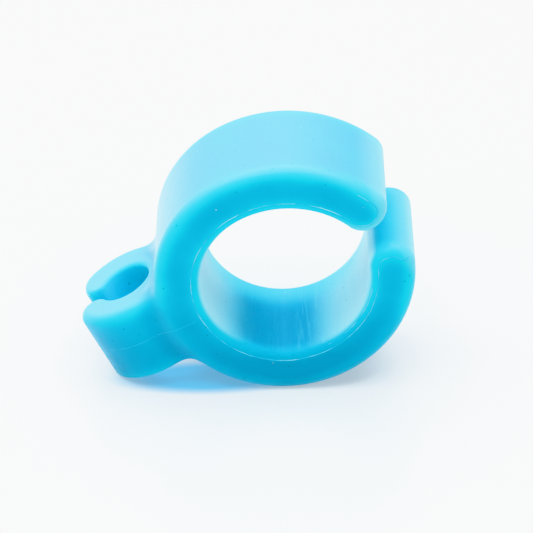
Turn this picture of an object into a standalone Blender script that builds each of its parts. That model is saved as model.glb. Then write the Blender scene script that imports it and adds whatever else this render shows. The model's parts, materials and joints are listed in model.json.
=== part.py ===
"""Split silicone finger ring with a small open clip on its back.

The whole thing is one soft moulding. It is built as the stiff back of the band and the
clip's root, plus the lengths of band and jaw that bend, each one hinged at mid-wall.

Design plane, in millimetres: x from the clip to the split, y along the finger, z along the
clip's bore. The finished part is rolled about y until it stands on its band and its clip.
"""
import math

import bmesh
import bpy
from mathutils import Vector

MM = 0.001

# Band, around the finger
BAND_OUTER_R = 14.5
BAND_BORE_R = 9.25
BAND_WIDTH = 14.1
BAND_EDGE_R = 1.0
BACK_ARC_DEG = 86.5
UPPER_ARM_ARC_R = 13.2
LOWER_ARM_ARC_R = 12.6
UPPER_LIP_GAP = 1.55
LOWER_LIP_GAP = 1.25
LIP_LENGTH = 2.4
ARM_PIVOTS_DEG = (47.0, 85.0, 125.0)
ARM_KNUCKLE_R = 3.2

# Clip, around the stick
CLIP_CENTRE_X = -18.0
CLIP_OUTER_R = 6.6
CLIP_BORE_R = 3.05
CLIP_LENGTH = 9.4
CLIP_EDGE_R = 0.6
SLOT_HALF = 1.0
JAW_LIP_LENGTH = 1.5
NECK_FILLET_R = 0.4
NECK_BLUNT = 0.12
JAW_PIVOTS_DEG = (86.0, 121.0)
JAW_KNUCKLE_R = 2.15

# Clearances
FLEX_GAP = 0.3
BOND_GAP = 0.12

# Standing pose
ROLL_DEG = 26.09

# Mesh density
EDGE_STEPS = 4
ARC_STEPS = 14
END_STEPS = 8
FILLET_STEPS = 4
SEAT_STEPS = 8
BISECTIONS = 40

SILICONE = (0.02, 0.50, 0.74, 1.0)

BAND_MID_R = 0.5 * (BAND_OUTER_R + BAND_BORE_R)
BAND_HALF_WALL = 0.5 * (BAND_OUTER_R - BAND_BORE_R)
CLIP_MID_R = 0.5 * (CLIP_OUTER_R + CLIP_BORE_R)
CLIP_HALF_WALL = 0.5 * (CLIP_OUTER_R - CLIP_BORE_R)


def span(start, end, steps):
    """Evenly spaced values from start to end, both included."""
    return [start + (end - start) * i / steps for i in range(steps + 1)]


def inset(depth, radius):
    """How far a rounded edge stands back from the wall at a depth below the flat face."""
    rest = max(radius - depth, 0.0)
    return radius - math.sqrt(max(radius * radius - rest * rest, 0.0))


def levels(half, radius, middle_steps):
    """Heights across a part with rounded edges, with each one's edge inset."""
    low = []
    for angle in span(0.0, 0.5 * math.pi, EDGE_STEPS):
        depth = radius * (1.0 - math.cos(angle))
        low.append((depth - half, inset(depth, radius)))
    straight = half - radius
    middle = [(height, 0.0) for height in span(-straight, straight, middle_steps)[1:-1]]
    high = [(-height, edge) for height, edge in reversed(low)]
    return low + middle + high


def band_line(side):
    """Mid-wall line of one arm: point, outward normal and run direction at an angle."""
    arm_r = UPPER_ARM_ARC_R if side > 0 else LOWER_ARM_ARC_R
    turn = math.radians(BACK_ARC_DEG)
    turn_normal = Vector((-math.cos(turn), side * math.sin(turn)))
    arm_centre = turn_normal * (BAND_MID_R - arm_r)

    def at(angle):
        normal = Vector((-math.cos(angle), side * math.sin(angle)))
        run = Vector((math.sin(angle), side * math.cos(angle)))
        if angle < turn:
            return normal * BAND_MID_R, normal, run
        return arm_centre + normal * arm_r, normal, run

    return at


def clip_line(side):
    """Mid-wall line of one jaw: point, outward normal and run direction at an angle."""
    centre = Vector((CLIP_CENTRE_X, 0.0))

    def at(angle):
        normal = Vector((math.cos(angle), side * math.sin(angle)))
        run = Vector((-math.sin(angle), side * math.cos(angle)))
        return centre + normal * CLIP_MID_R, normal, run

    return at


def wall_point(line, angle, offset):
    """Point on the wall at an offset from mid-wall."""
    point, normal, _ = line(angle)
    return point + normal * offset


def meet(line, offset, pivot_angle, radius):
    """Angle short of the pivot where the wall crosses the knuckle circle."""
    pivot = line(pivot_angle)[0]
    near = pivot_angle
    far = pivot_angle - math.radians(70.0)
    for _ in range(BISECTIONS):
        middle = 0.5 * (near + far)
        if (wall_point(line, middle, offset) - pivot).length < radius:
            near = middle
        else:
            far = middle
    return near


def knuckle_arc(line, pivot_angle, start, end):
    """Points on the knuckle circle between two wall points, ends left out."""
    pivot, _, run = line(pivot_angle)
    back = -run
    across = Vector((-back.y, back.x))
    radius = (start - pivot).length
    first = math.atan2((start - pivot).dot(across), (start - pivot).dot(back))
    last = math.atan2((end - pivot).dot(across), (end - pivot).dot(back))
    points = []
    for turn in span(first, last, END_STEPS)[1:-1]:
        points.append(pivot + (back * math.cos(turn) + across * math.sin(turn)) * radius)
    return points


def lip_arc(line, angle, half_wall, outer_edge, inner_edge, length):
    """Half-round lip that closes an arm or a jaw, from its outer to its inner wall."""
    point, normal, run = line(angle)
    shift = 0.5 * (inner_edge - outer_edge)
    half = half_wall - 0.5 * (outer_edge + inner_edge)
    points = []
    for turn in span(0.0, math.pi, 2 * END_STEPS)[1:-1]:
        across = shift + half * math.cos(turn)
        along = (length - inner_edge) * math.sin(turn)
        points.append(point + normal * across + run * along)
    return points


def lip_angle(line, height, axis):
    """Angle at which the mid-wall line has come down to the lip's height."""
    near = 0.5 * math.pi
    far = math.pi
    for _ in range(BISECTIONS):
        middle = 0.5 * (near + far)
        if abs(line(middle)[0][axis]) > height:
            near = middle
        else:
            far = middle
    return near


def segment_outline(line, half_wall, knuckle_r, start, end, lip, edge):
    """Outline of one bending length at one height.

    start and end are pivot angles. lip is None, or the lip's angle and length.
    """
    outer = half_wall - edge
    inner = edge - half_wall
    start_outer = meet(line, outer, start, knuckle_r)
    start_inner = meet(line, inner, start, knuckle_r)
    if lip is None:
        end_outer = meet(line, outer, end, knuckle_r + FLEX_GAP)
        end_inner = meet(line, inner, end, knuckle_r + FLEX_GAP)
    else:
        end_outer = lip[0]
        end_inner = lip[0]
    points = [wall_point(line, a, outer) for a in span(start_outer, end_outer, ARC_STEPS)]
    back_wall = [wall_point(line, a, inner) for a in span(end_inner, start_inner, ARC_STEPS)]
    if lip is None:
        points += knuckle_arc(line, end, points[-1], back_wall[0])
    else:
        points += lip_arc(line, lip[0], half_wall, edge, edge, lip[1])
    points += back_wall
    points += knuckle_arc(line, start, back_wall[-1], points[0])
    return points


def band_back_outline(edge):
    """Outline of the band's stiff back at one height, hollowed at both ends."""
    pivot = math.radians(ARM_PIVOTS_DEG[0])
    hollow_r = ARM_KNUCKLE_R + FLEX_GAP
    outer = BAND_HALF_WALL - edge
    inner = edge - BAND_HALF_WALL
    upper = band_line(1)
    lower = band_line(-1)
    outer_end = meet(upper, outer, pivot, hollow_r)
    inner_end = meet(upper, inner, pivot, hollow_r)
    points = [wall_point(upper, a, outer) for a in span(-outer_end, outer_end, 2 * ARC_STEPS)]
    bore_wall = [wall_point(upper, a, inner) for a in span(inner_end, -inner_end, 2 * ARC_STEPS)]
    points += knuckle_arc(upper, pivot, points[-1], bore_wall[0])
    points += bore_wall
    points += knuckle_arc(lower, pivot, bore_wall[-1], points[0])
    return points


def clip_root_outline(height, edge):
    """Outline of the clip's root at one height, seated on the band's outer wall."""
    seat_r = BAND_OUTER_R + BOND_GAP
    seat_x = -math.sqrt(seat_r * seat_r - height * height)
    pivot = math.radians(JAW_PIVOTS_DEG[0])
    hollow_r = JAW_KNUCKLE_R + FLEX_GAP
    wall_r = CLIP_OUTER_R - edge
    fillet_x = seat_x - NECK_FILLET_R
    reach = fillet_x - CLIP_CENTRE_X
    fillet_y = math.sqrt((wall_r + NECK_FILLET_R) ** 2 - reach * reach)
    tangent = math.atan2(fillet_y, reach)
    foot = math.acos(1.0 - NECK_BLUNT / NECK_FILLET_R)
    line = clip_line(1)
    outer_end = meet(line, CLIP_HALF_WALL - edge, pivot, hollow_r)
    inner_end = meet(line, edge - CLIP_HALF_WALL, pivot, hollow_r)
    half = [Vector((seat_x, fillet_y - NECK_FILLET_R * math.sin(foot)))]
    for turn in span(-foot, tangent - math.pi, FILLET_STEPS):
        half.append(Vector((fillet_x + NECK_FILLET_R * math.cos(turn),
                            fillet_y + NECK_FILLET_R * math.sin(turn))))
    for angle in span(tangent, outer_end, ARC_STEPS // 2)[1:]:
        half.append(wall_point(line, angle, CLIP_HALF_WALL - edge))
    bore = wall_point(line, inner_end, edge - CLIP_HALF_WALL)
    half += knuckle_arc(line, pivot, half[-1], bore)
    half += [wall_point(line, a, edge - CLIP_HALF_WALL)
             for a in span(inner_end, 0.0, ARC_STEPS // 2)]
    mirrored = [Vector((p.x, -p.y)) for p in reversed(half[:-1])]
    return half + mirrored


def across_band(outline):
    """Stack an outline through the band's width."""
    return [[Vector((p.x, y, p.y)) for p in outline(edge)]
            for y, edge in levels(0.5 * BAND_WIDTH, BAND_EDGE_R, 1)]


def along_clip(outline, middle_steps):
    """Stack an outline along the clip's bore."""
    return [[Vector((p.x, p.y, z)) for p in outline(z, edge)]
            for z, edge in levels(0.5 * CLIP_LENGTH, CLIP_EDGE_R, middle_steps)]


def arm_piece(side, index):
    """One bending length of an arm."""
    line = band_line(side)
    start = math.radians(ARM_PIVOTS_DEG[index])
    if index + 1 < len(ARM_PIVOTS_DEG):
        end = math.radians(ARM_PIVOTS_DEG[index + 1])
        lip = None
    else:
        end = None
        gap = UPPER_LIP_GAP if side > 0 else LOWER_LIP_GAP
        lip = (lip_angle(line, gap + LIP_LENGTH, 1), LIP_LENGTH)

    def outline(edge):
        return segment_outline(line, BAND_HALF_WALL, ARM_KNUCKLE_R, start, end, lip, edge)

    pivot = line(start)[0]
    return across_band(outline), Vector((pivot.x, 0.0, pivot.y))


def jaw_piece(side, index):
    """One bending length of a jaw."""
    line = clip_line(side)
    start = math.radians(JAW_PIVOTS_DEG[index])
    if index + 1 < len(JAW_PIVOTS_DEG):
        end = math.radians(JAW_PIVOTS_DEG[index + 1])
        lip = None
    else:
        end = None
        lip = (lip_angle(line, SLOT_HALF + JAW_LIP_LENGTH, 1), JAW_LIP_LENGTH)

    def outline(_, edge):
        return segment_outline(line, CLIP_HALF_WALL, JAW_KNUCKLE_R, start, end, lip, edge)

    pivot = line(start)[0]
    return along_clip(outline, 1), Vector((pivot.x, pivot.y, 0.0))


def to_row(point):
    """Roll a design point about the finger axis into the standing pose, in metres."""
    roll = math.radians(ROLL_DEG)
    x = point.x * math.cos(roll) - point.z * math.sin(roll)
    z = point.x * math.sin(roll) + point.z * math.cos(roll)
    return Vector((x, point.y, z)) * MM


def silicone(name):
    """Translucent satin silicone."""
    material = bpy.data.materials.new("silicone_" + name)
    material.use_nodes = True
    shader = material.node_tree.nodes["Principled BSDF"]
    shader.inputs["Base Color"].default_value = SILICONE
    shader.inputs["Roughness"].default_value = 0.45
    material.diffuse_color = SILICONE
    return material


def add_piece(name, stack, origin, shift):
    """Close a stack of outlines into one solid with its origin on its own pivot."""
    place = to_row(origin) + shift
    mesh = bpy.data.meshes.new(name)
    work = bmesh.new()
    rings = []
    for outline in stack:
        rings.append([work.verts.new(to_row(p) + shift - place) for p in outline])
    count = len(rings[0])
    for low, high in zip(rings[:-1], rings[1:]):
        for i in range(count):
            j = (i + 1) % count
            work.faces.new((low[i], low[j], high[j], high[i]))
    work.faces.new(list(reversed(rings[0])))
    work.faces.new(rings[-1])
    bmesh.ops.recalc_face_normals(work, faces=work.faces[:])
    work.to_mesh(mesh)
    work.free()
    piece = bpy.data.objects.new(name, mesh)
    piece.location = place
    mesh.materials.append(silicone(name))
    bpy.context.scene.collection.objects.link(piece)
    return piece


def design():
    """Every piece's name, stack of outlines and pivot."""
    pieces = [
        ("band_back", across_band(band_back_outline), Vector((0.0, 0.0, 0.0))),
        ("clip_root", along_clip(clip_root_outline, SEAT_STEPS), Vector((CLIP_CENTRE_X, 0.0, 0.0))),
    ]
    for side, arm in ((1, "upper_arm"), (-1, "lower_arm")):
        for index, length in enumerate(("root", "middle", "tip")):
            pieces.append((arm + "_" + length,) + arm_piece(side, index))
    for side, jaw in ((-1, "front_jaw"), (1, "rear_jaw")):
        for index, length in enumerate(("root", "tip")):
            pieces.append((jaw + "_" + length,) + jaw_piece(side, index))
    return pieces


def main():
    for old in list(bpy.data.objects):
        bpy.data.objects.remove(old, do_unlink=True)
    pieces = design()
    points = [to_row(p) for _, stack, _ in pieces for outline in stack for p in outline]
    low = [min(p[i] for p in points) for i in range(3)]
    high = [max(p[i] for p in points) for i in range(3)]
    shift = Vector((-0.5 * (low[0] + high[0]), -0.5 * (low[1] + high[1]), -low[2]))
    for name, stack, origin in pieces:
        add_piece(name, stack, origin, shift)


main()
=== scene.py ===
"""Looks of the split silicone finger ring with its open clip.

The whole visible skin is one smooth moulded shape, worked out as a distance field in the
part's own design frame and cut into lengths. The back rides its CAD body, and every other
length stays where it is cut. Each stands for the plain CAD solids under it.

Design frame, in millimetres: origin on the finger bore's axis, x towards the split,
y along the finger, z along the clip's bore.
"""

import json
import math

import bmesh
import bpy
import numpy as np
from mathutils import Matrix, Vector


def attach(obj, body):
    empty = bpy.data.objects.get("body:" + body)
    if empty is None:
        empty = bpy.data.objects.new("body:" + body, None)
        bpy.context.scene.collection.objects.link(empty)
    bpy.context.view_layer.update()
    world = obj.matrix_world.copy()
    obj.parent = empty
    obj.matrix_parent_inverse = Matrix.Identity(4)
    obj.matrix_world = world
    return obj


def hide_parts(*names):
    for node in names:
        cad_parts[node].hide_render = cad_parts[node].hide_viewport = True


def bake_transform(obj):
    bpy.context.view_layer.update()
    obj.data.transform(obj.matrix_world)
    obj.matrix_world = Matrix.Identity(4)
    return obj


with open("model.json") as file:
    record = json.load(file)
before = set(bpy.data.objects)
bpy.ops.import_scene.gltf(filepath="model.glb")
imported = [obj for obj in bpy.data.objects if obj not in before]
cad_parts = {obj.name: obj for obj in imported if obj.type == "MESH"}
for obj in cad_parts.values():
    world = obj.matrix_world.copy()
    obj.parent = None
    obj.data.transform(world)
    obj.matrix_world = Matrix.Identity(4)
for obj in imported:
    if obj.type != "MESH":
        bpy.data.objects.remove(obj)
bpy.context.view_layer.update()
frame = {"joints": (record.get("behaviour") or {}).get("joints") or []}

MM = 0.001

# Band: sizes as in the CAD source, edge radii as the photograph shows them
BAND_OUTER_R = 14.5
BAND_BORE_R = 9.25
BAND_HALF_WIDTH = 7.05
BACK_ARC = math.radians(86.5)
UPPER_ARC_R = 13.2
LOWER_ARC_R = 12.6
UPPER_LIP_GAP = 1.55
LOWER_LIP_GAP = 1.25
BAND_NOSE = 2.4
BAND_MID_R = 0.5 * (BAND_OUTER_R + BAND_BORE_R)
BAND_HALF_WALL = 0.5 * (BAND_OUTER_R - BAND_BORE_R)
BAND_OUTER_EDGE_R = 1.35
BAND_INNER_EDGE_R = 1.0
BAND_REAR_OUTER_EDGE_R = 0.8
BAND_REAR_INNER_EDGE_R = 0.85

# Clip: sizes as in the CAD source, jaw lips and edge radii as the photograph shows them
CLIP_X = -18.0
CLIP_OUTER_R = 6.6
CLIP_BORE_R = 3.05
CLIP_HALF_LENGTH = 4.7
FRONT_JAW_NOSE = 1.7
FRONT_JAW_GAP = 1.15
REAR_JAW_NOSE = 2.9
REAR_JAW_GAP = 0.8
REAR_JAW_DRIFT = 0.45
CLIP_MID_R = 0.5 * (CLIP_OUTER_R + CLIP_BORE_R)
CLIP_HALF_WALL = 0.5 * (CLIP_OUTER_R - CLIP_BORE_R)
CLIP_OUTER_EDGE_R = 1.2
CLIP_REAR_EDGE_R = 0.6
CLIP_INNER_EDGE_R = 0.5
# Where the clip's outer edge grows to its larger radius: towards the front and the top
CLIP_WORN_ACROSS = (-4.0, 2.0)
CLIP_WORN_UP = (-2.0, 2.0)

# Fillet between band and clip, which fades out towards the clip's bore
NECK_MELT = 2.4
NECK_MELT_START = 0.4
NECK_MELT_END = 2.0
NECK_MELT_LEAST = 0.01

# Turns, from the clip side, of the arms' first hinges and, in degrees, of the cuts that part
# the arms; turns of the jaws' cuts, from the neck; and how far each bend reaches either side
# of its hinge
FIRST_PIVOT_TURN = math.radians(47.0)
ARM_CUTS = (28.0, 66.0, 105.0)
ARM_REACH = 2.95
JAW_CUTS = (68.0, 103.5)
JAW_REACH = 0.9

# How far from its middle a cut goes, how close to it a vertex counts as on it, and how far
# past the clip's sizes a face still counts as the clip's
ARM_CUT_REACH = 9.0
JAW_CUT_REACH = 5.6
CUT_SNAP = 0.002
CLIP_MARGIN = 0.6

# Skin mesh
GRID = 0.3
GRID_LOW = np.array((-25.4, -7.9, -15.7))
GRID_HIGH = np.array((15.7, 7.9, 15.7))
SETTLE_PASSES = 4
PROJECT_PASSES = 4
GRADIENT_STEP = 0.01

# Light from above, gathered for the painted light that pales upper faces; it leans left and to the
# rear
SKY_RAYS = 40
SKY_SPREAD = 0.42
SKY_LEAN = np.array((-0.36, 0.30, 0.0))
SKY_START = 0.35
SKY_FIRST_STEP = 0.3
SKY_STEP = 0.6
SKY_RANGE = 24.0
SKY_LOSS_IN_BORE = 0.7
GOLDEN_ANGLE = math.pi * (3.0 - math.sqrt(5.0))

# Painted light and reflection on the finger bore's sides: angles in radians from a leaning upright
# line
GLOW_LEAN = 0.08
GLOW_START = 0.15
GLOW_FULL = 1.2

# Where painted light, shade and streaks start and are full, by distance from the bore's wall
SIDE_GLOW_FADE = (1.4, 0.1)
REAR_GLOW_FADE = (0.8, 0.1)
CLIP_GLOW_FADE = (0.6, 0.1)
SHADE_FADE = (1.3, 0.2)
STREAK_FADE = (0.5, 0.02)

# Where the shade starts and is full, below the finger bore's axis; how far the glow of the
# bore's rear edge reaches forward, and how close to the band's faces the bore's own glow ends
SHADE_DROP = (2.0, 6.0)
REAR_GLOW_WIDTH = 6.5
BORE_EDGE_FADE = 0.8

# How far each point is buried, for the depth of its colour
DEPTH_BLUR = 1.1

# Moulding flash: round the upper nose it turns back along the outer edge by these angles, and
# round the lower nose it ends at these places, (along, across), from where the nose starts
FLASH_INSET = 1.05
FLASH_WIDTH = 0.19
FLASH_HEIGHT = 0.05
FLASH_UPPER_END = (0.05, 0.11, 0.17)
FLASH_LOWER_SWEEP = 0.62 * math.pi
FLASH_LOWER_END = ((0.72, 1.45), (0.85, 1.75), (1.1, 2.2), (1.1, 2.6))
SLIVER_INSET = 0.38
SLIVER_WIDTH = 0.17
SLIVER_ARC = (94.0, 146.0)

# Parting line round the clip's jaws
PARTING_START = 0.08
PARTING_WIDTH = 0.11
PARTING_HEIGHT = 0.022
PARTING_STOP = 0.25
MOST_STEPS = 200

# Cross-section of every ridge, (across, up) in shares of its width and height; its two edges
# are sunk into the skin
RIDGE_PROFILE = ((-0.5, None), (-0.26, 0.7), (0.0, 1.0), (0.26, 0.7), (0.5, None))
RIDGE_STEP = 0.25
RIDGE_SINK = 0.06
RIDGE_LOWER = 0.01
RIDGE_TAPER = 1.2
RIDGE_WANDER = 0.04


# ---------------------------------------------------------------- frame of reference

def joint(name):
    """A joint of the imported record."""
    return next(j for j in frame["joints"] if j["name"] == name)


Y_AXIS = np.array((0.0, 1.0, 0.0))
Z_AXIS = np.array(joint("front_jaw_open")["axis"], float)
Z_AXIS /= np.linalg.norm(Z_AXIS)
X_AXIS = np.cross(Y_AXIS, Z_AXIS)
AXES = np.array((X_AXIS, Y_AXIS, Z_AXIS))
FIRST_PIVOT = np.array((-math.cos(FIRST_PIVOT_TURN), 0.0, math.sin(FIRST_PIVOT_TURN)))
FIRST_PIVOT *= BAND_MID_R
ORIGIN = np.array(joint("upper_arm_open")["pos_m"], float) - (FIRST_PIVOT @ AXES) * MM


# ---------------------------------------------------------------- distance field

def smooth(value, low, high):
    """Smooth step from 0 at low to 1 at high."""
    t = np.clip((value - low) / (high - low), 0.0, 1.0)
    return t * t * (3.0 - 2.0 * t)


def melt(a, b, reach):
    """Union of two distance fields with a fillet about as wide as reach."""
    near = np.clip(1.0 - np.abs(a - b) / reach, 0.0, 1.0)
    return np.minimum(a, b) - 0.25 * reach * near * near


def rounded_end(along, across, nose, half_wall):
    """Distance to a wall that a half ellipse, nose long, closes where along is positive."""
    stretch = np.hypot(along / nose, across / half_wall)
    slope = np.hypot(along / nose ** 2, across / half_wall ** 2)
    rounded = stretch * (stretch - 1.0) / np.maximum(slope, 1e-9)
    return np.where(along > 0.0, rounded, np.abs(across) - half_wall)


def wall(u, v, radius, half_wall, lip, nose):
    """Distance to a bent wall that ends in a straight rounded lip, and how far out across it.

    The angle runs from the u axis towards v, and lip is where the nose starts.
    """
    lip_u = radius * np.cos(lip)
    lip_v = radius * np.sin(lip)
    along = (v - lip_v) * np.cos(lip) - (u - lip_u) * np.sin(lip)
    across = (u - lip_u) * np.cos(lip) + (v - lip_v) * np.sin(lip)
    across = np.where(along > 0.0, across, np.hypot(u, v) - radius)
    return rounded_end(along, across, nose, half_wall), across


def thicken(flat, height, half_height, edge):
    """Distance to an extruded outline whose edges are rounded by edge."""
    a = flat + edge
    b = np.abs(height) - half_height + edge
    outside = np.hypot(np.maximum(a, 0.0), np.maximum(b, 0.0))
    return np.minimum(np.maximum(a, b), 0.0) + outside - edge


def lip_turn(centre_v, radius, height):
    """Angle at which a bent wall's mid-line has come down to a height."""
    return math.pi - math.asin((height - centre_v) / radius)


def arm_centre(arc_r):
    """Centre of the arc that an arm follows beyond the stiff back, as (u, v)."""
    reach = BAND_MID_R - arc_r
    return reach * math.cos(BACK_ARC), reach * math.sin(BACK_ARC)


UPPER_CENTRE = arm_centre(UPPER_ARC_R)
LOWER_CENTRE = arm_centre(LOWER_ARC_R)
UPPER_LIP = lip_turn(UPPER_CENTRE[1], UPPER_ARC_R, UPPER_LIP_GAP + BAND_NOSE)
LOWER_LIP = lip_turn(LOWER_CENTRE[1], LOWER_ARC_R, LOWER_LIP_GAP + BAND_NOSE)


def band_section(x, z):
    """Distance to the band's outline in its own plane, and how far out across the wall."""
    u = -x
    v = np.abs(z)
    upper = z >= 0.0
    arc_r = np.where(upper, UPPER_ARC_R, LOWER_ARC_R)
    centre_u = np.where(upper, UPPER_CENTRE[0], LOWER_CENTRE[0])
    centre_v = np.where(upper, UPPER_CENTRE[1], LOWER_CENTRE[1])
    lip = np.where(upper, UPPER_LIP, LOWER_LIP)
    back_out = np.hypot(u, v) - BAND_MID_R
    arm, arm_out = wall(u - centre_u, v - centre_v, arc_r, BAND_HALF_WALL, lip, BAND_NOSE)
    in_back = np.arctan2(v, u) < BACK_ARC
    distance = np.where(in_back, np.abs(back_out) - BAND_HALF_WALL, arm)
    return distance, np.where(in_back, back_out, arm_out)


def band_field(p):
    """Distance to the band."""
    flat, out = band_section(p[..., 0], p[..., 2])
    outer = smooth(out, -BAND_HALF_WALL, BAND_HALF_WALL)
    front_edge = BAND_INNER_EDGE_R + (BAND_OUTER_EDGE_R - BAND_INNER_EDGE_R) * outer
    rear_edge = BAND_REAR_INNER_EDGE_R + (BAND_REAR_OUTER_EDGE_R - BAND_REAR_INNER_EDGE_R) * outer
    edge = np.where(p[..., 1] < 0.0, front_edge, rear_edge)
    return thicken(flat, p[..., 1], BAND_HALF_WIDTH, edge)


def clip_field(p):
    """Distance to the clip."""
    across = p[..., 1]
    rear = across > 0.0
    nose = np.where(rear, REAR_JAW_NOSE, FRONT_JAW_NOSE)
    tip = np.where(rear, REAR_JAW_GAP, FRONT_JAW_GAP)
    lip = math.pi - np.arcsin(tip / CLIP_MID_R) - nose / CLIP_MID_R
    turn = np.arctan2(np.abs(across), p[..., 0] - CLIP_X)
    along = CLIP_MID_R * (turn - lip)
    drift = np.where(rear, REAR_JAW_DRIFT, 0.0) * smooth(along, 0.0, nose)
    out = np.hypot(p[..., 0] - CLIP_X, across) - CLIP_MID_R
    flat = rounded_end(along, out + drift, nose, CLIP_HALF_WALL)
    outer = smooth(out, -CLIP_HALF_WALL, CLIP_HALF_WALL)
    worn = smooth(-across, *CLIP_WORN_ACROSS) * smooth(p[..., 2], *CLIP_WORN_UP)
    outer_edge = CLIP_REAR_EDGE_R + (CLIP_OUTER_EDGE_R - CLIP_REAR_EDGE_R) * worn
    edge = CLIP_INNER_EDGE_R + (outer_edge - CLIP_INNER_EDGE_R) * outer
    return thicken(flat, p[..., 2], CLIP_HALF_LENGTH, edge)


def ring_field(p):
    """Distance to the whole moulding, in millimetres, negative inside."""
    from_axis = np.hypot(p[..., 0] - CLIP_X, p[..., 1])
    outside_bore = smooth(from_axis, CLIP_BORE_R + NECK_MELT_START, CLIP_BORE_R + NECK_MELT_END)
    return melt(band_field(p), clip_field(p), NECK_MELT_LEAST + NECK_MELT * outside_bore)


def gradient(p):
    """Slope of the distance field at each point."""
    slope = np.empty_like(p)
    for axis in range(3):
        step = np.zeros(3)
        step[axis] = GRADIENT_STEP
        slope[..., axis] = (ring_field(p + step) - ring_field(p - step)) / (2.0 * GRADIENT_STEP)
    return slope


def unit(v):
    """Vectors scaled to length one."""
    return v / np.maximum(np.linalg.norm(v, axis=-1, keepdims=True), 1e-12)


def project(p, passes=PROJECT_PASSES):
    """Move points onto the surface along the field's slope."""
    for _ in range(passes):
        slope = gradient(p)
        steep = np.maximum((slope * slope).sum(axis=-1), 0.05)
        p = p - slope * (ring_field(p) / steep)[..., None]
    return p


# ---------------------------------------------------------------- skin mesh

def grid_points():
    """Every grid point, as an array of shape (nx, ny, nz, 3)."""
    lines = [np.arange(low, high + GRID, GRID) for low, high in zip(GRID_LOW, GRID_HIGH)]
    return np.stack(np.meshgrid(*lines, indexing="ij"), axis=-1)


def edge_crossings(values, axis):
    """Where the surface crosses the grid edges along one axis: crossed, and how far along."""
    low = np.take(values, range(values.shape[axis] - 1), axis=axis)
    high = np.take(values, range(1, values.shape[axis]), axis=axis)
    crossed = (low < 0.0) != (high < 0.0)
    share = np.where(crossed, low / np.where(crossed, low - high, 1.0), 0.0)
    return crossed, share, low < 0.0


def surface_net(values):
    """One vertex in each grid cell that the surface crosses, and quads between them."""
    cells = tuple(n - 1 for n in values.shape)
    total = np.zeros(cells + (3,))
    count = np.zeros(cells)
    crossings = []
    for axis in range(3):
        crossed, share, starts_inside = edge_crossings(values, axis)
        crossings.append((crossed, starts_inside))
        others = [a for a in range(3) if a != axis]
        for first in (0, 1):
            for second in (0, 1):
                pick = [slice(None)] * 3
                pick[others[0]] = slice(first, first + cells[others[0]])
                pick[others[1]] = slice(second, second + cells[others[1]])
                hit = crossed[tuple(pick)]
                total[..., axis] += np.where(hit, share[tuple(pick)], 0.0)
                total[..., others[0]] += first * hit
                total[..., others[1]] += second * hit
                count += hit
    used = count > 0
    index = np.full(cells, -1)
    index[used] = np.arange(used.sum())
    corners = np.argwhere(used) + total[used] / count[used][:, None]
    quads = []
    for axis in range(3):
        crossed, starts_inside = crossings[axis]
        first, second = [(1, 2), (2, 0), (0, 1)][axis]
        at = np.argwhere(crossed)
        inner = (at[:, first] > 0) & (at[:, second] > 0)
        at = at[inner]
        forward = starts_inside[tuple(at.T)]
        back_first = np.zeros(3, int)
        back_second = np.zeros(3, int)
        back_first[first] = 1
        back_second[second] = 1
        around = (at - back_first - back_second, at - back_second, at, at - back_first)
        quad = np.stack([index[tuple(c.T)] for c in around], axis=1)
        quads.append(np.where(forward[:, None], quad, quad[:, ::-1]))
    return GRID_LOW + corners * GRID, np.concatenate(quads)


def settle(points, quads):
    """Even out the mesh, keeping every point on the surface."""
    ends = np.concatenate([quads[:, (i, (i + 1) % 4)] for i in range(4)])
    count = np.bincount(ends[:, 0], minlength=len(points))
    for _ in range(SETTLE_PASSES):
        mean = np.stack([np.bincount(ends[:, 0], points[ends[:, 1], axis], len(points))
                         for axis in range(3)], axis=1) / count[:, None]
        points = project(0.5 * (points + mean), 2)
    return project(points)


# ---------------------------------------------------------------- flash and parting line

def band_point(side, turn, out):
    """Point in the band's plane at an angle from the clip side, out from mid-wall."""
    arc_r, centre = (UPPER_ARC_R, UPPER_CENTRE) if side > 0 else (LOWER_ARC_R, LOWER_CENTRE)
    if turn < BACK_ARC:
        arc_r, centre = BAND_MID_R, (0.0, 0.0)
    u = centre[0] + (arc_r + out) * math.cos(turn)
    v = centre[1] + (arc_r + out) * math.sin(turn)
    return -u, side * v


def nose_point(side, along, across):
    """Point in the band's plane, measured from where an arm's nose starts."""
    arc_r, centre = (UPPER_ARC_R, UPPER_CENTRE) if side > 0 else (LOWER_ARC_R, LOWER_CENTRE)
    lip = UPPER_LIP if side > 0 else LOWER_LIP
    u = centre[0] + (arc_r + across) * math.cos(lip) - along * math.sin(lip)
    v = centre[1] + (arc_r + across) * math.sin(lip) + along * math.cos(lip)
    return -u, side * v


def flash_outline():
    """The flash line in the band's plane, from the upper nose round to the lower one."""
    inner = FLASH_INSET - BAND_HALF_WALL
    reach = BAND_NOSE - FLASH_INSET
    upper = [nose_point(1, reach * math.sin(t), inner * math.cos(t))
             for t in np.linspace(0.0, math.pi, 14)]
    upper += [band_point(1, UPPER_LIP - turn, -inner) for turn in FLASH_UPPER_END]
    points = upper[::-1]
    points += [band_point(1, turn, inner) for turn in np.linspace(UPPER_LIP, 0.0, 90)[1:]]
    points += [band_point(-1, turn, inner) for turn in np.linspace(0.0, LOWER_LIP, 90)[1:]]
    points += [nose_point(-1, reach * math.sin(t), inner * math.cos(t))
               for t in np.linspace(0.0, FLASH_LOWER_SWEEP, 9)[1:]]
    points += [nose_point(-1, along, across) for along, across in FLASH_LOWER_END]
    return np.array(points)


def even_steps(points, step):
    """The same line with points a step apart."""
    length = np.concatenate(([0.0], np.cumsum(np.linalg.norm(np.diff(points, axis=0), axis=1))))
    at = np.linspace(0.0, length[-1], max(int(length[-1] / step), 2))
    return np.stack([np.interp(at, length, points[:, i]) for i in range(points.shape[1])], axis=1)


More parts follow.
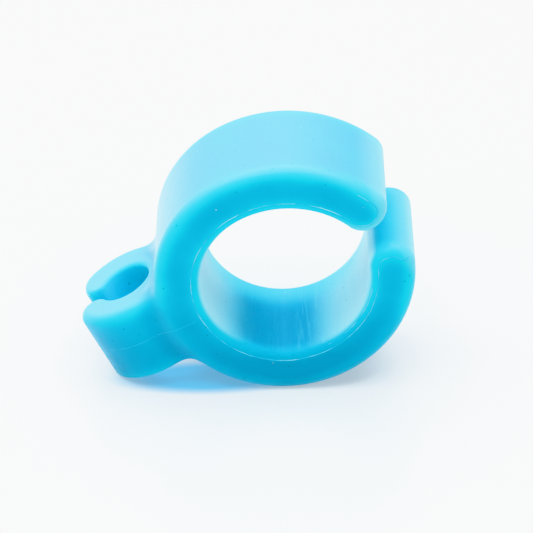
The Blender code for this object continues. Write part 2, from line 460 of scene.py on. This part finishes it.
def bore_edge_sliver():
    """A second thin seam close to the bore's edge on the lower arm."""
    turns = np.linspace(math.radians(SLIVER_ARC[0]), math.radians(SLIVER_ARC[1]), 40)
    return np.array([band_point(-1, turn, SLIVER_INSET - BAND_HALF_WALL) for turn in turns])


def on_face(outline, side):
    """A line in the band's plane laid on its front (side -1) or rear (side 1) face."""
    line = even_steps(outline, RIDGE_STEP)
    height = np.full(len(line), side * BAND_HALF_WIDTH)
    return project(np.stack((line[:, 0], height, line[:, 1]), axis=1))


def parting_line(side):
    """Where the plane z = 0 leaves the skin, from the flash line out round one jaw."""
    p = np.array((-BAND_BORE_R - FLASH_INSET - PARTING_START, side * BAND_HALF_WIDTH, 0.0))
    points = []
    while len(points) < MOST_STEPS:
        slope = unit(gradient(p[None]))[0]
        points.append(p)
        tangent = np.array((-slope[1], slope[0], 0.0)) * side
        p = project((p + RIDGE_STEP * unit(tangent))[None], 2)[0]
        p[2] = 0.0
        in_slot = -FRONT_JAW_GAP - PARTING_STOP < p[1] < REAR_JAW_GAP + PARTING_STOP
        if in_slot and p[0] < CLIP_X - CLIP_MID_R:
            break
    return np.array(points)


def ripple(s, seed):
    """Irregular wave between about -1 and 1, for hand-made looking heights."""
    total = np.zeros_like(s)
    for harmonic, pitch in enumerate((0.53, 1.27, 2.9, 5.3)):
        total += np.sin(s * pitch + seed * (harmonic + 1.7)) / (1.3 + 0.5 * harmonic)
    return total * 0.5


def ridge(points, width, height, seed, roughness):
    """Thin raised seam along a line on the skin, closed and sunk a little into it."""
    n = unit(gradient(points))
    tangent = unit(np.gradient(points, axis=0))
    side = unit(np.cross(n, tangent))
    s = np.arange(len(points)) * RIDGE_STEP
    ends = smooth(s, -0.1, RIDGE_TAPER) * smooth(s[-1] - s, -0.1, RIDGE_TAPER)
    tall = height * np.clip(1.0 + roughness * ripple(s, seed), 0.12, 2.0) * ends
    wide = width * np.clip(1.0 + 0.5 * roughness * ripple(s, seed + 3.1), 0.5, 1.6)
    wander = RIDGE_WANDER * ripple(0.8 * s, seed + 8.2)
    rows = []
    for across, up in RIDGE_PROFILE:
        lift = -RIDGE_SINK * np.ones_like(s) if up is None else up * tall - RIDGE_LOWER
        rows.append(points + side * (across * wide + wander)[:, None] + n * lift[:, None])
    verts = np.stack(rows, axis=1).reshape(-1, 3)
    faces = []
    k = len(RIDGE_PROFILE)
    for i in range(len(points) - 1):
        for j in range(k):
            a = i * k + j
            b = i * k + (j + 1) % k
            faces.append((a, b, b + k, a + k))
    faces.append(tuple(range(k))[::-1])
    faces.append(tuple(range((len(points) - 1) * k, len(points) * k)))
    return verts, faces


# ---------------------------------------------------------------- cutting into lengths

def station(p):
    """Which length of the skin a design point belongs to."""
    x, y, z = p
    clip_turn = math.degrees(math.atan2(abs(y), x - CLIP_X))
    on_clip = math.hypot(x - CLIP_X, y) < CLIP_OUTER_R + CLIP_MARGIN
    on_clip = on_clip and abs(z) < CLIP_HALF_LENGTH + CLIP_MARGIN
    if on_clip and clip_turn > JAW_CUTS[0]:
        jaw = "front_jaw" if y < 0.0 else "rear_jaw"
        return jaw + ("_tip" if clip_turn > JAW_CUTS[1] else "_root")
    turn = math.atan2(abs(z), -x)
    if turn < math.radians(ARM_CUTS[0]):
        return "back"
    arm = "upper_arm" if z > 0.0 else "lower_arm"
    if turn < math.radians(ARM_CUTS[1]):
        return arm + "_root"
    centre = UPPER_CENTRE if z > 0.0 else LOWER_CENTRE
    arm_turn = math.atan2(abs(z) - centre[1], -x - centre[0])
    return arm + ("_tip" if arm_turn > math.radians(ARM_CUTS[2]) else "_middle")


def cut_planes():
    """Point, direction along the wall and reach of each cut."""
    planes = []
    for side in (1, -1):
        for cut in ARM_CUTS:
            turn = math.radians(cut)
            x, z = band_point(side, turn, 0.0)
            planes.append((Vector((x, 0.0, z)),
                           Vector((math.sin(turn), 0.0, side * math.cos(turn))), ARM_CUT_REACH))
    for side in (1, -1):
        for cut in JAW_CUTS:
            turn = math.radians(cut)
            centre = Vector((CLIP_X + CLIP_MID_R * math.cos(turn),
                             side * CLIP_MID_R * math.sin(turn), 0.0))
            along = Vector((-math.sin(turn), side * math.cos(turn), 0.0))
            planes.append((centre, along, JAW_CUT_REACH))
    return planes


def cut(work):
    """Cut the skin along every plane, near its own stretch of wall only."""
    for centre, along, reach in cut_planes():
        faces = []
        for face in work.faces:
            away = face.calc_center_median() - centre
            if abs(away.dot(along)) < 2.0 * GRID and away.length < reach:
                faces.append(face)
        edges = {edge for face in faces for edge in face.edges}
        verts = {vert for face in faces for vert in face.verts}
        bmesh.ops.bisect_plane(work, geom=list(verts) + list(edges) + faces, dist=CUT_SNAP,
                               plane_co=centre, plane_no=along)


def skin():
    """The uncut skin with its seams, in design millimetres."""
    points, quads = surface_net(ring_field(grid_points()))
    points = settle(points, quads)
    parts = [(points, quads, 0)]
    outline = flash_outline()
    for side, seed in ((-1, 1.0), (1, 4.0)):
        parts.append(ridge(on_face(outline, side), FLASH_WIDTH, FLASH_HEIGHT, seed, 0.5) + (1,))
        parts.append(ridge(parting_line(side), PARTING_WIDTH, PARTING_HEIGHT, seed + 2.0, 0.7)
                     + (2,))
    sliver = on_face(bore_edge_sliver(), -1)
    parts.append(ridge(sliver, SLIVER_WIDTH, FLASH_HEIGHT, 2.6, 0.9) + (1,))
    work = bmesh.new()
    for verts, faces, slot_index in parts:
        made = [work.verts.new(p) for p in verts]
        for corners in faces:
            face = work.faces.new([made[i] for i in corners])
            face.material_index = slot_index
            face.smooth = True
    return work


def lengths(work):
    """Faces of the cut skin by the length they belong to, as plain meshes."""
    found = {}
    for face in work.faces:
        found.setdefault(station(face.calc_center_median()), []).append(face)
    pieces = {}
    for name, faces in found.items():
        piece = bmesh.new()
        made = {}
        for face in faces:
            for vert in face.verts:
                if vert not in made:
                    made[vert] = piece.verts.new(vert.co)
            copy = piece.faces.new([made[v] for v in face.verts])
            copy.material_index = face.material_index
            copy.smooth = True
        rim = [edge for edge in piece.edges if edge.is_boundary]
        caps = bmesh.ops.holes_fill(piece, edges=rim, sides=0)["faces"]
        for cap in caps:
            cap.smooth = False
            cap.material_index = 0
        bmesh.ops.recalc_face_normals(piece, faces=piece.faces[:])
        pieces[name] = piece
    return pieces


# ---------------------------------------------------------------- surface attributes

def blurred(values, spread):
    """Grid values averaged over about spread millimetres each way."""
    reach = int(round(2.0 * spread / GRID))
    weights = np.exp(-0.5 * (np.arange(-reach, reach + 1) * GRID / spread) ** 2)
    weights /= weights.sum()
    for axis in range(3):
        total = np.zeros_like(values)
        for offset, weight in zip(range(-reach, reach + 1), weights):
            total += weight * np.roll(values, offset, axis=axis)
        values = total
    return values


def sample(values, p):
    """Grid values read at design points, with linear steps between grid points."""
    at = (p - GRID_LOW) / GRID
    low = np.clip(np.floor(at).astype(int), 0, np.array(values.shape) - 2)
    share = at - low
    total = np.zeros(len(p))
    for corner in np.ndindex(2, 2, 2):
        weight = np.prod(np.where(corner, share, 1.0 - share), axis=1)
        total += weight * values[tuple((low + corner).T)]
    return total


def sky_share(values, p, normals):
    """How much of the leaning light from above reaches each point past the ring, 0 to 1."""
    start = p + normals * SKY_START
    received = np.zeros(len(p))
    for i in range(SKY_RAYS):
        height = 1.0 - (i + 0.5) / SKY_RAYS * SKY_SPREAD
        turn = i * GOLDEN_ANGLE
        flat = math.sqrt(1.0 - height * height)
        ray = np.array((flat * math.cos(turn), flat * math.sin(turn), height)) + SKY_LEAN
        ray = AXES @ (ray / np.linalg.norm(ray))
        facing = np.maximum(normals @ ray, 0.0)
        open_sky = np.ones(len(p), bool)
        for distance in np.arange(SKY_FIRST_STEP, SKY_RANGE, SKY_STEP):
            at = np.rint((start + ray * distance - GRID_LOW) / GRID).astype(int)
            inside = ((at >= 0) & (at < values.shape)).all(axis=1)
            at = np.clip(at, 0, np.array(values.shape) - 1)
            open_sky &= ~(inside & (values[tuple(at.T)] < -0.5 * GRID))
        received += facing * open_sky
    return received / SKY_RAYS


def near_bore(p, start, full):
    """Smooth share from 0 at start to 1 at full millimetres from the finger bore's wall."""
    out = band_section(p[:, 0], p[:, 2])[1]
    return smooth(-out, BAND_HALF_WALL - start, BAND_HALF_WALL - full)


def inside_faces(p):
    """1 between the band's two faces, falling to 0 at each."""
    return smooth(BAND_HALF_WIDTH - np.abs(p[:, 1]), 0.0, BORE_EDGE_FADE)


def bore_coordinates(p):
    """Length round the finger bore, length along it, and how fully a point is on its wall."""
    turn = np.arctan2(p[:, 2], -p[:, 0])
    on_wall = near_bore(p, *STREAK_FADE) * inside_faces(p)
    return np.stack((turn * BAND_BORE_R, p[:, 1], on_wall), axis=1)


def bore_glow(p):
    """Painted light through the wall: finger bore's sides, its rear edge, the clip's bore.

    On the finger bore's sides it also stands in for a reflection.
    """
    upright = unit(AXES[:, 2] + GLOW_LEAN * AXES[:, 0])
    steep = np.abs(p @ upright) / np.maximum(np.hypot(p[:, 0], p[:, 2]), 0.1)
    side = near_bore(p, *SIDE_GLOW_FADE) * inside_faces(p)
    side *= smooth(np.arccos(np.minimum(steep, 1.0)), GLOW_START, GLOW_FULL)
    rear = smooth(p[:, 1], BAND_HALF_WIDTH - REAR_GLOW_WIDTH, BAND_HALF_WIDTH)
    rear *= near_bore(p, *REAR_GLOW_FADE)
    clip_depth = np.hypot(p[:, 0] - CLIP_X, p[:, 1]) - CLIP_BORE_R
    clip = smooth(-clip_depth, -CLIP_GLOW_FADE[0], -CLIP_GLOW_FADE[1])
    return np.stack((side, rear, clip), axis=1)


def bore_rim(p):
    """1 at the lower half of the finger bore's wall and edges, 0 elsewhere."""
    return near_bore(p, *SHADE_FADE) * smooth(-(p @ AXES[:, 2]), *SHADE_DROP)


def set_attribute(mesh, name, kind, values):
    """Store one value per vertex."""
    layer = mesh.attributes.new(name, kind, "POINT")
    field = "vector" if kind == "FLOAT_VECTOR" else "value"
    layer.data.foreach_set(field, np.asarray(values, np.float32).ravel())


def dress(mesh, field, solid_share):
    """Attributes that the materials read, and normals from the smooth field."""
    count = len(mesh.vertices)
    p = np.empty(count * 3)
    mesh.vertices.foreach_get("co", p)
    p = p.reshape(-1, 3)
    set_attribute(mesh, "design", "FLOAT_VECTOR", p)
    set_attribute(mesh, "bore", "FLOAT_VECTOR", bore_coordinates(p))
    set_attribute(mesh, "depth", "FLOAT", sample(solid_share, p))
    slope = unit(gradient(p))
    sky = sky_share(field, p, slope) * (1.0 - SKY_LOSS_IN_BORE * bore_rim(p))
    set_attribute(mesh, "sky", "FLOAT", sky)
    set_attribute(mesh, "glow", "FLOAT_VECTOR", bore_glow(p))
    normals = slope @ AXES
    mesh.transform(ROW_MATRIX)
    loops = np.zeros((len(mesh.loops), 3))
    for face in mesh.polygons:
        if face.use_smooth and face.material_index == 0:
            for corner in face.loop_indices:
                loops[corner] = normals[mesh.loops[corner].vertex_index]
    mesh.normals_split_custom_set(loops.tolist())


# ---------------------------------------------------------------- materials

class Nodes:
    """Small helper that adds and links shader nodes."""

    def __init__(self, name):
        self.material = bpy.data.materials.new(name)
        self.material.use_nodes = True
        self.tree = self.material.node_tree
        self.shader = self.tree.nodes["Principled BSDF"]

    def add(self, kind, inputs=(), **settings):
        node = self.tree.nodes.new(kind)
        for key, value in settings.items():
            setattr(node, key, value)
        for key, value in dict(inputs).items():
            self.put(node.inputs[key], value)
        return node

    def put(self, socket, value):
        if isinstance(value, bpy.types.NodeSocket):
            self.tree.links.new(value, socket)
        else:
            socket.default_value = value

    def attribute(self, name, output):
        node = self.add("ShaderNodeAttribute", attribute_name=name)
        return node.outputs[output]

    def math(self, operation, a, b):
        return self.add("ShaderNodeMath", {0: a, 1: b}, operation=operation).outputs[0]

    def dot(self, a, b):
        node = self.add("ShaderNodeVectorMath", {0: a, 1: tuple(b)}, operation="DOT_PRODUCT")
        return node.outputs["Value"]

    def split(self, vector):
        return self.add("ShaderNodeSeparateXYZ", {"Vector": vector}).outputs

    def stretch(self, vector, scale, offset=(0.0, 0.0, 0.0)):
        node = self.add("ShaderNodeMapping", {"Vector": vector, "Scale": scale, "Location": offset})
        return node.outputs[0]

    def noise(self, vector, scale, detail=2.0, roughness=0.5, distortion=0.0):
        node = self.add("ShaderNodeTexNoise", {"Vector": vector, "Scale": scale, "Detail": detail,
                                               "Roughness": roughness, "Distortion": distortion})
        return node.outputs["Fac"]

    def range(self, value, low, high, to_low=0.0, to_high=1.0):
        node = self.add("ShaderNodeMapRange", {"Value": value, "From Min": low, "From Max": high,
                                               "To Min": to_low, "To Max": to_high},
                        interpolation_type="SMOOTHSTEP")
        return node.outputs[0]

    def ramp(self, value, stops):
        node = self.add("ShaderNodeValToRGB", {"Fac": value})
        elements = node.color_ramp.elements
        while len(elements) < len(stops):
            elements.new(0.5)
        for element, (place, colour) in zip(elements, stops):
            element.position = place
            element.color = colour + (1.0,)
        return node.outputs[0]

    def mix(self, factor, a, b):
        node = self.add("ShaderNodeMix", data_type="RGBA")
        self.put(node.inputs[0], factor)
        self.put(node.inputs[6], a)
        self.put(node.inputs[7], b)
        return node.outputs[2]

    def bump(self, height, distance, normal=None):
        inputs = {"Height": height, "Distance": distance, "Strength": 1.0}
        if normal is not None:
            inputs["Normal"] = normal
        return self.add("ShaderNodeBump", inputs).outputs[0]

    def finish(self, **sockets):
        for key, value in sockets.items():
            self.put(self.shader.inputs[key.replace("_", " ")], value)
        return self.material


def scattered(nodes, place, cell, size, share, offset):
    """1 inside small round flecks scattered through the body, one in a share of the cells."""
    at = nodes.stretch(place, (1.0 / cell,) * 3, offset)
    cells = nodes.add("ShaderNodeTexVoronoi", {"Vector": at, "Scale": 1.0, "Randomness": 1.0})
    chosen = nodes.add("ShaderNodeSeparateColor", {"Color": cells.outputs["Color"]})
    near = nodes.range(cells.outputs["Distance"], size / cell, 0.45 * size / cell)
    return nodes.math("MULTIPLY", near, nodes.math("LESS_THAN", chosen.outputs[0], share))


CYAN = (0.0, 0.44, 0.67)
TURQUOISE = (0.0, 0.60, 0.78)
DEEP_CYAN = (0.0, 0.31, 0.54)
# Painted light on faces turned to the light and on thin rims
PALE_CYAN = (0.32, 0.74, 0.85)
# Painted light through the walls, and on the finger bore's sides a painted reflection
LIT_CYAN = (0.0, 0.80, 1.0)
SIDE_GLOW = (0.62, 0.96, 1.0)
REAR_GLOW = (0.12, 0.84, 0.96)
# Painted highlight on the finger bore's streaks
STREAK_HIGHLIGHT_CYAN = (0.20, 0.80, 0.94)
SEAM_CYAN = (0.01, 0.52, 0.76)
BUBBLE_TEAL = (0.0, 0.22, 0.36)
DUST_WHITE = (0.78, 0.84, 0.86)
FLASH_CYAN = (0.26, 0.72, 0.86)
PARTING_CYAN = (0.24, 0.68, 0.83)
SILICONE_IOR = 1.41
PAINTED_LIGHT_SHARE = 0.48
CLIP_PAINTED_LIGHT = 1.4
LIP_SHARE = 0.55
SPLIT_SHARE = 0.6
STREAK_HIGHLIGHT_SHARE = 0.26
STREAK_SQUEEZE = 0.09

# Depth of the silicone and its colour there: thin edges turquoise, painted light through them
DEPTH_COLOURS = ((0.22, TURQUOISE), (0.38, TURQUOISE), (0.50, CYAN), (0.66, DEEP_CYAN))

# Channel of the glow attribute, its value at full strength, the strength and the tint
GLOWS = (
    (0, 0.6, 0.5, LIT_CYAN),
    (0, 1.0, 0.8, SIDE_GLOW),
    (1, 1.0, 0.6, REAR_GLOW),
    (2, 1.0, 0.5, LIT_CYAN),
)


def silicone_skin():
    """Satin translucent silicone; painted light turns thin edges turquoise, thick stretches go
    deeper.
    """
    nodes = Nodes("silicone_skin")
    place = nodes.attribute("design", "Vector")
    along_x, _, along_z = nodes.split(place)
    world_x = nodes.dot(place, AXES[:, 0])
    world_z = nodes.dot(place, AXES[:, 2])

    # Buried silicone is deeper, thin edges paler by painted light, and painted shade deepens the
    # foot
    depth = nodes.attribute("depth", "Fac")
    cloud = nodes.noise(place, 0.16, 3.0, 0.55)
    shade = nodes.math("ADD", depth, nodes.range(cloud, 0.25, 0.75, -0.035, 0.035))
    shade = nodes.math("ADD", shade, nodes.range(world_z, -11.0, 0.0, 0.15, 0.0))
    colour = nodes.ramp(shade, DEPTH_COLOURS)

    # Painted light: faces turned to the light are paler, most of all on the clip
    sky = nodes.attribute("sky", "Fac")
    painted_light = nodes.range(sky, 0.22, 0.93, 0.0, PAINTED_LIGHT_SHARE)
    painted_light = nodes.math("MULTIPLY", painted_light, nodes.range(along_x, -19.0, -4.0, CLIP_PAINTED_LIGHT, 1.0))
    colour = nodes.mix(painted_light, colour, PALE_CYAN + (1.0,))

    # Painted light on thin rims of the upper arm's lip, and on both arms close to the split
    lip = nodes.math("MULTIPLY", nodes.range(along_x, 6.0, 12.0, 0.0, LIP_SHARE),
                     nodes.range(along_z, -1.0, 1.0))
    rim = nodes.math("MULTIPLY", nodes.range(depth, 0.42, 0.28), lip)
    rim = nodes.math("MAXIMUM", rim, nodes.range(along_x, 12.8, 15.0, 0.0, SPLIT_SHARE))
    colour = nodes.mix(rim, colour, PALE_CYAN + (1.0,))

    # Painted light through the wall: the bore's sides first brighten, then pale, a painted
    # reflection too
    glow = nodes.split(nodes.attribute("glow", "Vector"))
    for i, full, strength, tint in GLOWS:
        share = nodes.range(glow[i], 0.0, full, 0.0, strength)
        colour = nodes.mix(share, colour, tint + (1.0,))

    # Streaks along the finger bore, right of its lowest part, paler by a painted highlight
    bore = nodes.split(nodes.attribute("bore", "Vector"))
    lane = nodes.add("ShaderNodeCombineXYZ", {"X": bore[0],
                                              "Y": nodes.math("MULTIPLY", bore[1], STREAK_SQUEEZE)})
    streak = nodes.noise(lane.outputs[0], 1.7, 2.0, 0.5, 0.8)
    patches = nodes.math("MULTIPLY", nodes.range(world_x, 0.5, 3.0, 0.15, 1.0),
                         nodes.range(world_x, 8.5, 5.5, 0.35, 1.0))
    streaks = nodes.math("MULTIPLY", nodes.range(streak, 0.48, 0.66),
                         nodes.math("MULTIPLY", bore[2], patches))
    streaks = nodes.math("MULTIPLY", streaks, STREAK_HIGHLIGHT_SHARE)
    colour = nodes.mix(streaks, colour, STREAK_HIGHLIGHT_CYAN + (1.0,))

    # Bubbles in the silicone and dust on it
    bubbles = scattered(nodes, place, 1.25, 0.15, 0.8, (0.31, 0.17, 0.73))
    dust = scattered(nodes, place, 2.1, 0.10, 0.5, (5.2, 3.3, 7.1))
    colour = nodes.mix(nodes.math("MULTIPLY", bubbles, 0.7), colour, BUBBLE_TEAL + (1.0,))
    colour = nodes.mix(nodes.math("MULTIPLY", dust, 0.6), colour, DUST_WHITE + (1.0,))

    # Satin surface: slow waves, the streaks and a fine grain, in metres of height
    normal = nodes.bump(nodes.noise(place, 0.45, 2.0, 0.5), 0.00005)
    normal = nodes.bump(nodes.math("MULTIPLY", streak, bore[2]), 0.00009, normal)
    normal = nodes.bump(nodes.noise(place, 4.5, 3.0, 0.6), 0.000008, normal)
    rough = nodes.range(nodes.noise(place, 1.1, 4.0, 0.6), 0.3, 0.7, 0.40, 0.52)
    # Coat and sheen grow where more light from above reaches: a painted sheen on the upper faces
    coat = nodes.range(sky, 0.05, 0.45, 0.15, 1.0)
    sheen = nodes.range(sky, 0.05, 0.45, 0.08, 0.36)
    return nodes.finish(Base_Color=colour, Roughness=rough, Normal=normal, IOR=SILICONE_IOR,
                        Specular_Tint=(0.05, 0.82, 1.0, 1.0), Coat_Weight=coat,
                        Coat_Roughness=0.25, Coat_IOR=1.25, Sheen_Weight=sheen,
                        Sheen_Roughness=0.5, Sheen_Tint=(0.75, 0.96, 1.0, 1.0))


def seam_silicone(name, low, high, pale, share):
    """Silicone of a thin seam: it catches the light, so it reads paler in broken runs."""
    nodes = Nodes(name)
    place = nodes.attribute("design", "Vector")
    runs = nodes.noise(place, 0.4, 3.0, 0.6)
    colour = nodes.ramp(runs, ((low, SEAM_CYAN), (high, pale)))
    grain = nodes.noise(place, 9.0, 2.0, 0.6)
    normal = nodes.bump(grain, 0.00002)
    rough = nodes.range(grain, 0.3, 0.7, 0.34, 0.5)
    return nodes.finish(Base_Color=colour, Roughness=rough, Normal=normal, IOR=SILICONE_IOR,
                        Sheen_Weight=share, Sheen_Roughness=0.3)


# ---------------------------------------------------------------- pieces


BENDS = (
    ("upper_arm_root", "upper_arm_open", ARM_REACH),
    ("upper_arm_middle", "upper_arm_middle_bend", ARM_REACH),
    ("upper_arm_tip", "upper_arm_tip_bend", ARM_REACH),
    ("lower_arm_root", "lower_arm_open", ARM_REACH),
    ("lower_arm_middle", "lower_arm_middle_bend", ARM_REACH),
    ("lower_arm_tip", "lower_arm_tip_bend", ARM_REACH),
    ("front_jaw_root", "front_jaw_open", JAW_REACH),
    ("front_jaw_tip", "front_jaw_tip_bend", JAW_REACH),
    ("rear_jaw_root", "rear_jaw_open", JAW_REACH),
    ("rear_jaw_tip", "rear_jaw_tip_bend", JAW_REACH),
)

ROW_MATRIX = Matrix([[*(AXES[:, i] * MM), ORIGIN[i]] for i in range(3)] + [[0.0, 0.0, 0.0, 1.0]])


def build_skin():
    """Every length of skin as its own object; the back rides its CAD body."""
    materials = (silicone_skin(),
                 seam_silicone("silicone_flash", 0.46, 0.72, FLASH_CYAN, 0.25),
                 seam_silicone("silicone_parting_line", 0.55, 0.76, PARTING_CYAN, 0.2))
    work = skin()
    cut(work)
    field = ring_field(grid_points())
    solid_share = blurred((field < 0.0).astype(float), DEPTH_BLUR)
    objects = {}
    for name, piece in lengths(work).items():
        mesh = bpy.data.meshes.new("skin_" + name)
        piece.to_mesh(mesh)
        piece.free()
        for material in materials:
            mesh.materials.append(material)
        dress(mesh, field, solid_share)
        made = bpy.data.objects.new("skin_" + name, mesh)
        bpy.context.scene.collection.objects.link(made)
        objects[name] = made
    work.free()
    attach(objects["back"], "ring_back")
    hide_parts("band_back", "clip_root")
    for name, hinge, reach in BENDS:
        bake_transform(objects[name])
        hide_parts(name)


# ---------------------------------------------------------------- studio

FLOOR_HALF = 1.5
POOL_SHIFT = (0.35, 1.0, 0.0)
POOL_SCALE = (78.0, 250.0, 1.0)
POOL_CYAN = (0.0, 0.42, 0.70, 1.0)
POOL_LIGHT = (0.42, 0.88, 1.0, 1.0)
PLAIN_WHITE = (1.0, 1.0, 1.0, 1.0)
FLOOR_LIGHT = 0.4
WORLD_LIGHT = 0.3
SOFTBOX_PLACE = (-0.03, 0.04, 0.35)
SOFTBOX_SIZE = 0.5
SOFTBOX_POWER = 4.4
AIM = Vector((0.0, 0.0, 0.012))
CAMERA_TILT = math.radians(32.278)
CAMERA_TURN = math.radians(0.03)
CAMERA_ROLL = math.radians(-1.179)
CAMERA_RANGE = 329.2
CAMERA_ASIDE = 1.807
CAMERA_ABOVE = 1.787
CAMERA_LENS = 195.06


def floor_material():
    """Plain pale light table, slightly glossy, with a painted pool of the cyan light the ring lets
    through.
    """
    nodes = Nodes("floor")
    place = nodes.add("ShaderNodeTexCoord").outputs["Object"]
    tone = nodes.noise(place, 9.0, 2.0)
    colour = nodes.ramp(tone, ((0.3, (0.60, 0.60, 0.602)), (0.7, (0.62, 0.62, 0.62))))
    # Painted pool of cyan light under the ring, in the floor's colour and in its glow
    pool = nodes.add("ShaderNodeMapping", {0: place, 1: POOL_SHIFT, 3: POOL_SCALE})
    spread = nodes.add("ShaderNodeVectorMath", {0: pool.outputs[0]}, operation="LENGTH")
    tinted = nodes.range(spread.outputs["Value"], 0.5, 0.97, 1.0, 0.0)
    colour = nodes.mix(tinted, colour, POOL_CYAN)
    lit = nodes.mix(tinted, PLAIN_WHITE, POOL_LIGHT)
    return nodes.finish(Base_Color=colour, Roughness=0.25, Emission_Color=lit,
                        Emission_Strength=FLOOR_LIGHT)


def add_floor():
    """Pale floor, far larger than the view."""
    mesh = bpy.data.meshes.new("floor")
    corners = [(-FLOOR_HALF, -FLOOR_HALF, 0.0), (FLOOR_HALF, -FLOOR_HALF, 0.0),
               (FLOOR_HALF, FLOOR_HALF, 0.0), (-FLOOR_HALF, FLOOR_HALF, 0.0)]
    mesh.from_pydata(corners, [], [(0, 1, 2, 3)])
    floor = bpy.data.objects.new("floor", mesh)
    mesh.materials.append(floor_material())
    bpy.context.scene.collection.objects.link(floor)


def add_softbox(name, place, size, power):
    """Square area light aimed at the ring."""
    data = bpy.data.lights.new(name, "AREA")
    data.shape = "SQUARE"
    data.size = size
    data.energy = power
    light = bpy.data.objects.new(name, data)
    light.location = place
    light.rotation_euler = (AIM - Vector(place)).to_track_quat("-Z", "Y").to_euler()
    bpy.context.scene.collection.objects.link(light)


def add_world(strength):
    """Even white surroundings."""
    world = bpy.data.worlds.new("studio")
    bpy.context.scene.world = world
    world.use_nodes = True
    background = world.node_tree.nodes["Background"]
    background.inputs["Color"].default_value = PLAIN_WHITE
    background.inputs["Strength"].default_value = strength


def add_camera():
    """Long lens, looking down at the ring's front face from the photograph's angle."""
    forward = Vector((math.sin(CAMERA_TURN) * math.cos(CAMERA_TILT),
                      math.cos(CAMERA_TURN) * math.cos(CAMERA_TILT), -math.sin(CAMERA_TILT)))
    right = Vector((math.cos(CAMERA_TURN), -math.sin(CAMERA_TURN), 0.0))
    up = right.cross(forward)
    roll = Matrix.Rotation(-CAMERA_ROLL, 3, "Y")
    right, up, forward = (roll @ axis for axis in (right, up, forward))
    offset = right * CAMERA_ASIDE + up * CAMERA_ABOVE + forward * CAMERA_RANGE
    place = Vector(ORIGIN) - offset * MM
    data = bpy.data.cameras.new("camera")
    data.sensor_width = 36.0
    data.lens = CAMERA_LENS
    data.clip_start = 0.01
    data.clip_end = 10.0
    camera = bpy.data.objects.new("camera", data)
    camera.matrix_world = Matrix([[right[i], up[i], -forward[i], place[i]] for i in range(3)]
                                 + [[0.0, 0.0, 0.0, 1.0]])
    bpy.context.scene.collection.objects.link(camera)
    bpy.context.scene.camera = camera


build_skin()
add_floor()
add_world(WORLD_LIGHT)
add_softbox("overhead", SOFTBOX_PLACE, SOFTBOX_SIZE, SOFTBOX_POWER)
add_camera()
bpy.context.scene.view_settings.view_transform = "Khronos PBR Neutral"
bpy.context.scene.view_settings.look = "None"
